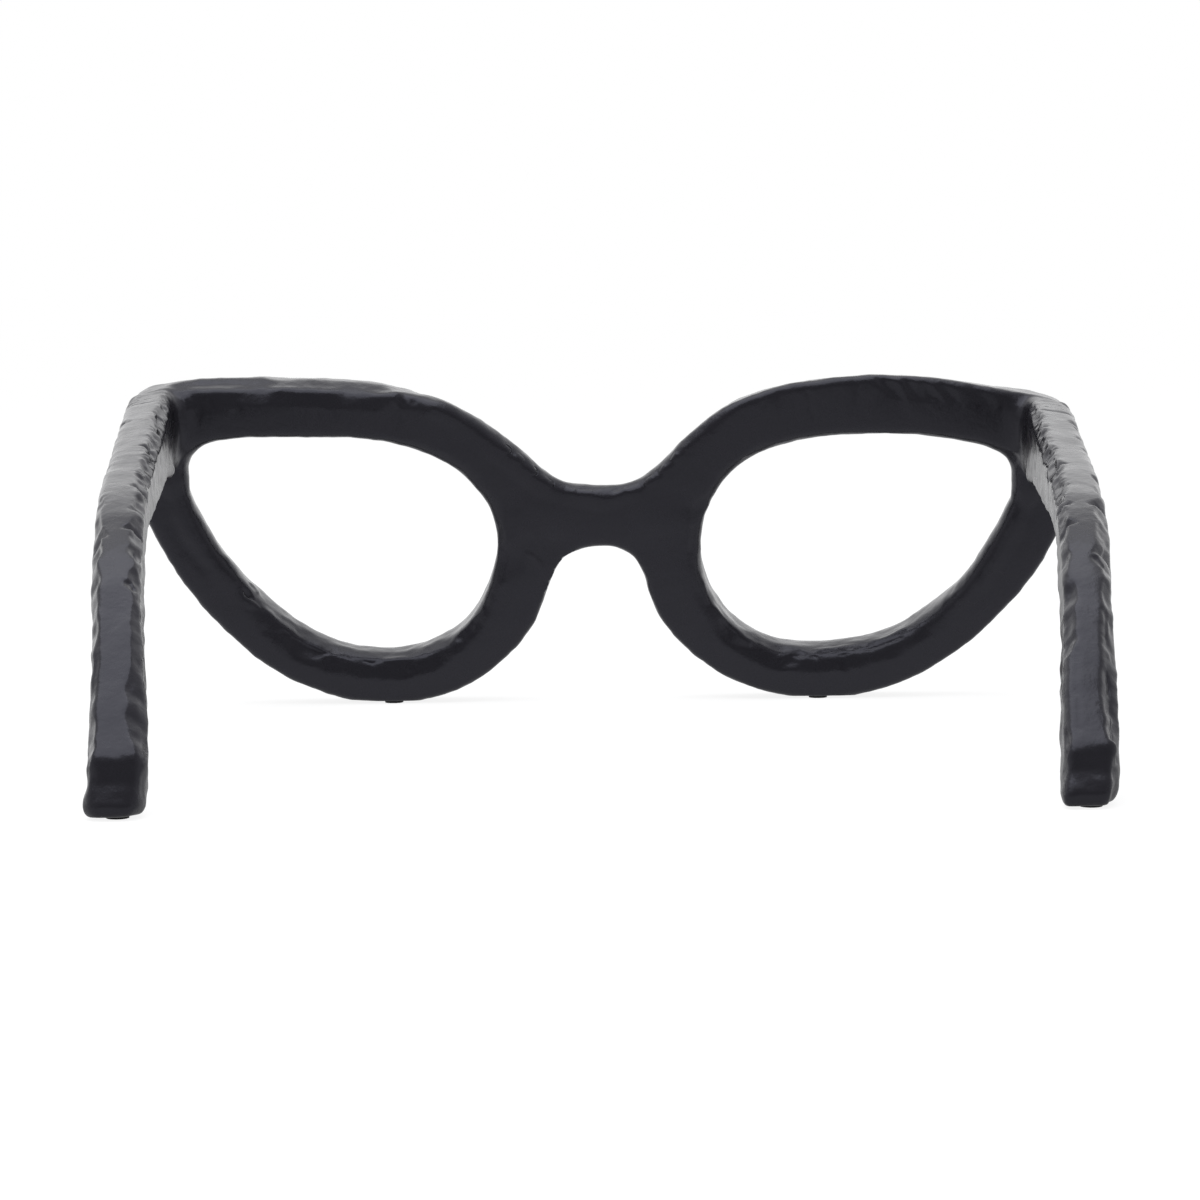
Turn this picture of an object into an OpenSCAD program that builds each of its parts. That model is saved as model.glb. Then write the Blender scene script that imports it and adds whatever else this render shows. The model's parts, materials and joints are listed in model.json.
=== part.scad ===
// Table sculpture of a pair of eyeglasses, cast in three pieces.
// Origin on the standing surface under the middle.
// +X to the wearer's right, +Y where the wearer looks, +Z up.
// The front is drawn in its own leaning plane: u across, v up the plane, w from its back face to the tips.

/* [Front] */
// Width over the two wings
front_w = 304; // [260:1:340]
// Height of the front, measured up its own leaning plane
front_h = 105; // [95:1:120]
// Lean of the front back toward the temple tips, in degrees
front_lean = 8.2; // [5:0.1:11]
// Thickness of the front from its back face to its front face
bar_depth = 17; // [14:0.5:20]
// Rounding of the long edges of the front
edge_r = 2.25; // [1.5:0.25:3.5]
// Hollow radius inside each corner, where the front turns into the temple
cove_r = 9; // [4:0.5:11]

/* [Temples] */
// Distance on the surface from the foot of the front to the end of the temples
temple_reach = 247; // [225:1:270]
// Half the distance between the middles of the two tips
tip_half_gap = 124; // [110:1:135]
// How far a temple bows outward between its root and its tip
temple_bow = 2.25; // [0:0.25:4]
// Width of a temple at its root
root_w = 14.4; // [12:0.2:17]
// Height of a temple at its root
root_h = 22.6; // [20:0.2:25]
// How far the outer side of a root lies inside the edge of the wing
wing_inset = 1.5; // [0.5:0.25:3]
// How far the inner edge of a root rises above its outer edge, to meet the top of the front
shoulder = 3; // [0:0.25:4]
// Width of a temple along its ear piece
ear_w = 13; // [11:0.2:16]
// Thickness of a temple along its ear piece
ear_h = 15.5; // [14:0.25:17]
// Width of a temple at its tip
tip_w = 15.4; // [13:0.2:18]
// Tilt of the left ear piece about its tip, in degrees
left_tilt = 0.6; // [-1:0.1:1.5]
// Tilt of the right ear piece about its tip, in degrees
right_tilt = -0.6; // [-1.5:0.1:1]

/* [Corner joints] */
// Distance of the joint behind the back face of the front
joint_w = 14; // [12:0.5:18]
// Depth of the weld groove round the joint
weld_depth = 3; // [2:0.25:3.5]
// Half the width of the weld groove
weld_half = 3; // [2:0.25:4]
// Diameter of the threaded stud
stud_d = 5; // [4:0.5:6]
// Length of the threaded stud
stud_len = 24; // [18:1:28]
// Diameter of the dowel pin
dowel_d = 3; // [2:0.5:4]
// Length of the dowel pin
dowel_len = 16; // [10:1:20]
// Distance between the stud and the dowel pin
pin_pitch = 8; // [7:0.25:9]
// Gap round the stud and the pin in their holes
pin_gap = 0.1; // [0.05:0.05:0.2]

/* [Feet] */
// Diameter of a pad
pad_d = 6; // [5:0.5:7]
// Thickness of a pad
pad_t = 0.8; // [0.6:0.1:2]
// Depth of the flat ground on each casting where it stands
grind = 0.7; // [0.5:0.05:1]

/* [Hidden] */
left = -1;
right = 1;
curve_steps = 4;
edge_steps = 3;
corner_steps = 4;
hole_sides = 48;
cove_sides = 96;
past = 1;
black = [0.13, 0.13, 0.14];
steel = [0.62, 0.63, 0.65];
felt = [0.08, 0.08, 0.08];

// Outlines in u and v, drawn at 304 wide and 105 high, from the saddle of the bridge round by the left wing
drawn_w = 304;
drawn_h = 105;
outer_points = [
    [0, 69], [-10, 70], [-18, 73.5], [-27, 81.5], [-39, 91], [-52, 98.2], [-70, 102.8], [-95, 104.8],
    [-120, 105], [-137, 104.3], [-147, 101.7], [-151.6, 94.8], [-151.6, 83], [-149.5, 71], [-144, 57.8],
    [-136.5, 43.5], [-126, 29.7], [-110, 14], [-89, 3.2], [-68, 0], [-51, 2.8], [-36, 10.8],
    [-26, 20.5], [-20, 30.5], [-16.5, 40], [-12.5, 47.5], [-5, 51], [3, 51.2], [10, 48],
    [14, 41.2], [17, 31], [21.5, 23.5], [29, 15.5], [40, 7.6], [54, 2], [70, 0], [87, 2],
    [106, 9.4], [122, 20.8], [135, 34.6], [144, 47.8], [149.5, 61], [151.6, 74], [151.6, 86.5],
    [148, 94.8], [138, 98.2], [122, 100.4], [104, 102.7], [86, 103.2], [68, 102], [52, 99],
    [39, 93.5], [27, 83.5], [18, 74.6], [10, 70.2]
];
left_lens_points = [
    [-33, 52], [-36, 65], [-44, 75.6], [-54.5, 82], [-69, 86.6], [-92, 88.2], [-116, 88], [-127, 85.8],
    [-133, 78.5], [-132.5, 68], [-127, 55], [-117, 41], [-105.5, 29.3], [-93, 20.6], [-80, 16.1],
    [-66, 15.3], [-54, 18.4], [-44, 25.4], [-37, 36.8]
];
right_lens_points = [
    [32, 52], [34.2, 37.4], [41.4, 26], [52.5, 18.4], [64, 15.8], [78, 16.2], [93, 19.4], [107, 27.3],
    [120, 39.7], [129, 54.5], [133.3, 65], [132.8, 75], [127, 80.8], [117, 84.2], [102, 86.3],
    [84, 87], [68, 86], [54, 82.6], [43.5, 76.4], [35.5, 66.2]
];
// How much higher the back of the right wing's top stands than its front, by number of the outline's point
top_rise = [[43, 0], [45, 0.8], [46, 1.6], [47, 2.3], [48, 2.8], [49, 2.5], [50, 2.2], [51, 1.6], [53, 0]];
left_root_v = 102;
right_root_v = 96.4;
left_foot_u = -68;
right_foot_u = 70;

// The ear piece from the side: the top line and its slope, by distance from the tip's end and height
ear_line = [
    [110, 80.7, 8.2], [98, 78.8, 9.5], [86, 76.4, 13], [75, 73.2, 19], [65, 69, 26], [55, 63.4, 33],
    [45, 56.2, 39], [35, 47.6, 43], [25, 37.9, 45.5], [15, 27.4, 46], [6, 17.8, 46]
];
// The rounded end: top and bottom of each section, and how far its -X and +X sides are drawn in
tip_ends = [
    [[3.4, 14.6], [13.4, 2.8], [0, 0]], [[1.6, 11.6], [10.8, 0.6], [0, 0.3]],
    [[0.5, 8], [7, 0], [0.2, 0.9]], [[0, 4], [3.8, 0], [0.7, 2.6]], [[0.3, 1.9], [1.9, 0.3], [1.6, 4.6]]
];

u_scale = front_w / drawn_w;
v_scale = front_h / drawn_h;
lift = pad_t - grind - edge_r * (cos(front_lean) + sin(front_lean) - 1);
front_bulge = bar_depth * cos(front_lean) + edge_r * (1 - cos(front_lean) - sin(front_lean));
foot_y = (temple_reach - front_bulge) / 2;
tip_floor = pad_t - grind;
root_x = front_w / 2 - wing_inset - root_w / 2;
pin_end_gap = 0.5;
pin_chamfer = 0.5;
section_r = 3.2;
fullest_round = 0.9;
stub_sink = 1.5;
stub_full_w = 0.7;
cove_bite = 0.4;
ear_start = ear_line[0][0];
tip_start = 40;
tip_pad_ahead = 6.9;
// The flat ground under a rim, from its back edge to its front edge
flat_back = edge_r * (cos(front_lean) - sin(front_lean)) - sqrt(edge_r * edge_r - (edge_r - grind) ^ 2);
flat_front = (pad_t - lift) / tan(front_lean);

// Smooth closed curve through points
function bend(a, b, c, d, t) =
    0.5 * (2 * b + (c - a) * t + (2 * a - 5 * b + 4 * c - d) * t * t + (3 * b - a - 3 * c + d) * t * t * t);
function smooth_loop(p) = let (n = len(p)) [
    for (i = [0 : n - 1]) for (k = [0 : curve_steps - 1])
        bend(p[(i + n - 1) % n], p[i], p[(i + 1) % n], p[(i + 2) % n], k / curve_steps)
];
function stretched(p) = [for (q = p) [q[0] * u_scale, q[1] * v_scale]];

// The same loop moved sideways by d, to the inside of a loop that runs anticlockwise
function moved(p, d) = let (n = len(p)) [
    for (i = [0 : n - 1])
        let (t = p[(i + 1) % n] - p[(i + n - 1) % n], s = t / norm(t))
        p[i] + d * [-s[1], s[0]]
];
function level(p, w) = [for (q = p) [q[0], q[1], w]];

// Rounded edge: how far in and how deep each step lies
edge_profile = [for (i = [0 : edge_steps]) let (a = 90 * i / edge_steps) [1 - sin(a), 1 - cos(a)] * edge_r];

// Two triangles between each pair of neighbouring points on two loops
function band(j, next, n) = [
    for (i = [0 : n - 1]) for (f = [[[0, 0], [1, 1], [1, 0]], [[0, 0], [0, 1], [1, 1]]])
        [for (q = f) (q[1] == 0 ? j : next) * n + (i + q[0]) % n]
];

// Solid through loops of equal length, anticlockwise as seen from the last one, closed at both ends
module skin(loops) {
    n = len(loops[0]);
    last = len(loops) - 1;
    polyhedron(
        points = [for (l = loops) each l],
        faces = concat(
            [for (j = [0 : last - 1]) each band(j, j + 1, n)],
            [[for (i = [0 : n - 1]) i], [for (i = [n - 1 : -1 : 0]) last * n + i]]
        ),
        convexity = 10
    );
}

// Tube through loops of equal length, closed on itself
module closed_skin(loops) {
    m = len(loops);
    polyhedron(
        points = [for (l = loops) each l],
        faces = [for (j = [0 : m - 1]) each band(j, (j + 1) % m, len(loops[0]))],
        convexity = 10
    );
}

// From the leaning plane to the table's frame
module on_front() {
    translate([0, foot_y, lift]) rotate([90 + front_lean, 0, 0]) children();
}
function from_front(u, v, w) = [
    u,
    foot_y - v * sin(front_lean) - w * cos(front_lean),
    lift + v * cos(front_lean) - w * sin(front_lean)
];

// The loop at each step through the thickness, from the front face to the back face
function rounded_levels(front_loop, back_loop, inward) = concat(
    [for (e = edge_profile) level(moved(front_loop, inward * e[0]), e[1] - bar_depth)],
    [for (i = [edge_steps : -1 : 0]) let (e = edge_profile[i]) level(moved(back_loop, inward * e[0]), -e[1])]
);

// Outer body of the front, with both long edges rounded
module front_blank() {
    risen = [for (i = [0 : len(outer_points) - 1]) outer_points[i] + [0, lookup(i, top_rise)]];
    skin(rounded_levels(smooth_loop(stretched(outer_points)), smooth_loop(stretched(risen)), 1));
}

// Cutter for one rim opening, flared at both faces by the edge rounding
module lens_cutter(points) {
    loop = smooth_loop(stretched(points));
    flared = moved(loop, -edge_r);
    skin(concat(
        [level(flared, -bar_depth - past)], rounded_levels(loop, loop, -1), [level(flared, cove_r + past)]
    ));
}

// Side view of a temple, as [y, z] points
function flat(p) = [p[1], p[2]];
function root_v(side) = (side == left ? left_root_v : right_root_v) * v_scale;
function tilt(side) = side == left ? left_tilt : right_tilt;
function root_top(side) = flat(from_front(0, root_v(side), 0));
function root_bottom(side) = flat(from_front(0, root_v(side) - root_h, 0));
function from_tip(side, a, h) = let (t = tilt(side)) [
    foot_y - temple_reach + a * cos(t) - h * sin(t),
    tip_floor + a * sin(t) + h * cos(t)
];
function ear_top(side, e) = from_tip(side, e[0], e[1]);
function ear_bottom(side, e) = from_tip(side, e[0] + ear_h * sin(e[2]), e[1] - ear_h * cos(e[2]));
function plane_v(p) = -(p[0] - foot_y) * sin(front_lean) + (p[1] - lift) * cos(front_lean);
function plane_w(p) = -(p[0] - foot_y) * cos(front_lean) - (p[1] - lift) * sin(front_lean);

// Points where the straight stretch crosses the plane w behind the front
function top_at(side, w) = let (a = root_top(side), b = ear_top(side, ear_line[0]))
    a + (b - a) * w / plane_w(b);
function bottom_at(side, w) = let (a = root_bottom(side), b = ear_bottom(side, ear_line[0]))
    a + (b - a) * w / plane_w(b);

// Distance in front of the tip's end, and what follows from it
function ahead(p) = p[0] - (foot_y - temple_reach);
function middle_x(p) = let (t = ahead(p) / temple_reach)
    tip_half_gap + (root_x - tip_half_gap) * t + temple_bow * 4 * t * (1 - t);
function width_at(p) = let (a = ahead(p))
    a > ear_start ? ear_w + (root_w - ear_w) * (a - ear_start) / (temple_reach - ear_start)
    : a > tip_start ? ear_w
    : ear_w + (tip_w - ear_w) * (1 - a / tip_start);

// The shoulder runs out along the straight stretch, and is gone where the ear piece starts
function shoulder_at(side, mid) = let (
    ear_mid = (ear_top(side, ear_line[0]) + ear_bottom(side, ear_line[0])) / 2
)
    shoulder * max(0, 1 - plane_w(mid) / plane_w(ear_mid));

// One rounded section between a top and a bottom point
// It is smaller all round by inset, and drawn in at its -X and +X sides
function section(side, top, bottom, inset = 0, drawn_in = [0, 0]) = let (
    mid = (top + bottom) / 2,
    up = (top - bottom) / norm(top - bottom),
    half_h = norm(top - bottom) / 2 - inset,
    half_w = (width_at(mid) - drawn_in[0] - drawn_in[1]) / 2 - inset,
    mid_x = side * middle_x(mid) + (drawn_in[0] - drawn_in[1]) / 2,
    rise = shoulder_at(side, mid),
    r = min(section_r - inset, half_h * fullest_round)
) [
    for (c = [[1, 1, 0], [-1, 1, 90], [-1, -1, 180], [1, -1, 270]]) for (k = [0 : corner_steps])
        let (
            ang = c[2] + 90 * k / corner_steps,
            across = c[0] * (half_w - r) + r * cos(ang),
            along = c[1] * (half_h - r) + r * sin(ang),
            inner = c[1] > 0 ? (1 - side * across / half_w) / 2 : 0,
            p = mid + up * (along + inner * rise)
        )
        [mid_x + across, p[0], p[1]]
];
function straight_section(side, w, inset = 0) = section(side, top_at(side, w), bottom_at(side, w), inset);

// Short end of the temple that belongs to the front casting
module corner_stub(side) {
    skin([
        straight_section(side, -edge_r, stub_sink),
        straight_section(side, stub_full_w),
        straight_section(side, joint_w - weld_half),
        straight_section(side, joint_w, weld_depth)
    ]);
}

// Hollow in the corner between the back face and the inner side of the stub
module cove(side) {
    inner_u = root_x - root_w / 2;
    low_v = root_v(side) - root_h + section_r;
    on_front() mirror([side == right ? 0 : 1, 0, 0]) difference() {
        translate([inner_u - cove_r, low_v, -past])
            cube([cove_r + past, root_h - 2 * section_r + shoulder, cove_r + past]);
        translate([inner_u - cove_r + cove_bite, low_v - past, cove_r - cove_bite])
            rotate([-90, 0, 0])
                cylinder(h = root_h + shoulder, r = cove_r, $fn = cove_sides);
        translate([inner_u - cove_r - past, low_v - past, cove_r - cove_bite])
            cube([cove_r + past, root_h + shoulder, 3 * past]);
    }
}

// Holes that the stud and the dowel share between the two castings
module pin_place(side, up) {
    top = top_at(side, joint_w);
    bottom = bottom_at(side, joint_w);
    v = (plane_v(top) + plane_v(bottom)) / 2;
    on_front() translate([side * middle_x((top + bottom) / 2), v + up * pin_pitch / 2, joint_w]) children();
}
module pin_hole(d, len) {
    translate([0, 0, -len / 2 - pin_end_gap])
        cylinder(h = len + 2 * pin_end_gap, d = d + 2 * pin_gap, $fn = hole_sides);
}
module corner_holes(side) {
    pin_place(side, 1) pin_hole(stud_d, stud_len);
    pin_place(side, -1) pin_hole(dowel_d, dowel_len);
}
module pin(d, len) {
    rotate_extrude($fn = hole_sides)
        polygon([
            [0, -len / 2], [d / 2 - pin_chamfer, -len / 2], [d / 2, -len / 2 + pin_chamfer],
            [d / 2, len / 2 - pin_chamfer], [d / 2 - pin_chamfer, len / 2], [0, len / 2]
        ]);
}

// Everything below the ground flats
module under_flats() {
    translate([-front_w, -temple_reach, -front_h])
        cube([2 * front_w, 2 * temple_reach, front_h + pad_t]);
}

module front_frame() {
    color(black) difference() {
        union() {
            on_front() front_blank();
            for (side = [left, right]) {
                corner_stub(side);
                cove(side);
            }
        }
        on_front() {
            lens_cutter(left_lens_points);
            lens_cutter(right_lens_points);
        }
        corner_holes(left);
        corner_holes(right);
        under_flats();
    }
}

module temple(side) {
    color(black) difference() {
        skin(concat(
            [straight_section(side, joint_w, weld_depth), straight_section(side, joint_w + weld_half)],
            [for (e = ear_line) section(side, ear_top(side, e), ear_bottom(side, e))],
            [for (e = tip_ends)
                section(side, from_tip(side, e[0][0], e[0][1]), from_tip(side, e[1][0], e[1][1]), 0, e[2])]
        ));
        corner_holes(side);
        under_flats();
    }
}

// Weld that fills the groove, dressed flush with both castings
module corner_weld(side) {
    color(black) closed_skin([
        straight_section(side, joint_w - weld_half),
        straight_section(side, joint_w + weld_half),
        straight_section(side, joint_w, weld_depth)
    ]);
}

module corner_stud(side) {
    color(steel) pin_place(side, 1) pin(stud_d, stud_len);
}
module corner_dowel(side) {
    color(steel) pin_place(side, -1) pin(dowel_d, dowel_len);
}

module pad() {
    color(felt) cylinder(h = pad_t, d = pad_d, $fn = hole_sides);
}
module rim_pad(foot_u) {
    translate([foot_u * u_scale, foot_y + (flat_back + flat_front) / 2, 0]) pad();
}
module tip_pad(side) {
    y = foot_y - temple_reach + tip_pad_ahead;
    translate([side * middle_x([y, 0]), y, 0]) pad();
}

module left_temple() { temple(left); }
module right_temple() { temple(right); }
module left_corner_weld() { corner_weld(left); }
module right_corner_weld() { corner_weld(right); }
module left_corner_stud() { corner_stud(left); }
module right_corner_stud() { corner_stud(right); }
module left_corner_dowel() { corner_dowel(left); }
module right_corner_dowel() { corner_dowel(right); }
module left_rim_pad() { rim_pad(left_foot_u); }
module right_rim_pad() { rim_pad(right_foot_u); }
module left_tip_pad() { tip_pad(left); }
module right_tip_pad() { tip_pad(right); }

front_frame();
left_temple();
right_temple();
left_corner_weld();
right_corner_weld();
left_corner_stud();
right_corner_stud();
left_corner_dowel();
right_corner_dowel();
left_rim_pad();
right_rim_pad();
left_tip_pad();
right_tip_pad();
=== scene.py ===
"""Giant eyeglasses sculpture in satin black cast metal: its looks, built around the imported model."""

import json
import math

import bpy
import numpy as np
from mathutils import Matrix, Vector, kdtree, noise

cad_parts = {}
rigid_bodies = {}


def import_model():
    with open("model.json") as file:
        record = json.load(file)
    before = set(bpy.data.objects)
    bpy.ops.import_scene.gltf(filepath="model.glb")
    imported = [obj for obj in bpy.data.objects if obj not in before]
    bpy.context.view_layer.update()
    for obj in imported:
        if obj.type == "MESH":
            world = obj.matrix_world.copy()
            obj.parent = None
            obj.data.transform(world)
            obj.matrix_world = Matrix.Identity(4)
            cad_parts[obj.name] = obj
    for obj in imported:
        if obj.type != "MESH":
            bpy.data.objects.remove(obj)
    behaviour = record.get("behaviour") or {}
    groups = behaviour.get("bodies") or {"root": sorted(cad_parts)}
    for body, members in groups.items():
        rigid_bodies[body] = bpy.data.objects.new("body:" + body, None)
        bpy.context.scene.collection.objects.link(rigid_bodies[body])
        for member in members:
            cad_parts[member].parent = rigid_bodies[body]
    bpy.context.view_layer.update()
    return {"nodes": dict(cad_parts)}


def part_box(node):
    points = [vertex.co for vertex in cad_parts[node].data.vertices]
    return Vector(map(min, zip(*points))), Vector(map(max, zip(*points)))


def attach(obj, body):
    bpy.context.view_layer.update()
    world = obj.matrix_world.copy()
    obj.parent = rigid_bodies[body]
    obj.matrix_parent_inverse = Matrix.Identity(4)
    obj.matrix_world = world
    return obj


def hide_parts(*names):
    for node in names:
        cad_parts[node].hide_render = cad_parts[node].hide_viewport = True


bl_info = {
    "name": "Giant Eyeglasses Sculpture",
    "version": (1, 0, 0),
    "blender": (4, 5, 0),
    "location": "3D View > Sidebar > Eyeglasses",
    "description": "Models the three castings, their dressed welds and felt feet, and sets the stage",
    "category": "Object",
}

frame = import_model()
MM = 0.001
SIDES = ("left", "right")
CASTINGS = ("front_frame", "left_temple", "right_temple", "left_corner_weld", "right_corner_weld")
SKIN = "casting_skin"

# The front's own leaning plane: u across, v up it, w from its back face toward the temple tips
LEAN = math.radians(8.2)
FOOT = Vector((0.0, 0.11524, -0.0002))
U_AXIS = Vector((1.0, 0.0, 0.0))
V_AXIS = Vector((0.0, -math.sin(LEAN), math.cos(LEAN)))
W_AXIS = Vector((0.0, -math.cos(LEAN), -math.sin(LEAN)))
JOINT_W = 14.0 * MM
PAD_TOP = 0.8 * MM
# Depths in w, in mm: the front face of the front, and where the temples are clear of it
FRONT_FACE_W = -17.0
CLEAR_W = 6

# The middle of the bar on its back face, (u, v): where the bar is crowned a little, over this reach in mm
CROWN_REACH = 11.0
LEFT_RIM_MIDDLE = (
    (-18, 62), (-27, 71), (-38, 81), (-52, 90), (-70, 95), (-95, 97), (-120, 97), (-136, 92),
    (-142, 80), (-138, 64), (-129, 48), (-117, 34), (-103, 21), (-86, 11), (-68, 8), (-51, 11),
    (-38, 20), (-29, 32), (-25, 46), (-25, 60),
)
RIGHT_RIM_MIDDLE = (
    (18, 64), (27, 73), (38, 83), (52, 91), (70, 95), (95, 96), (118, 93), (136, 88),
    (142, 77), (139, 63), (131, 48), (119, 33), (104, 19), (86, 9), (70, 8), (54, 10),
    (40, 18), (30, 30), (25, 44), (24, 58),
)
BRIDGE_MIDDLE = ((-20, 61), (0, 60), (20, 61))

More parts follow.
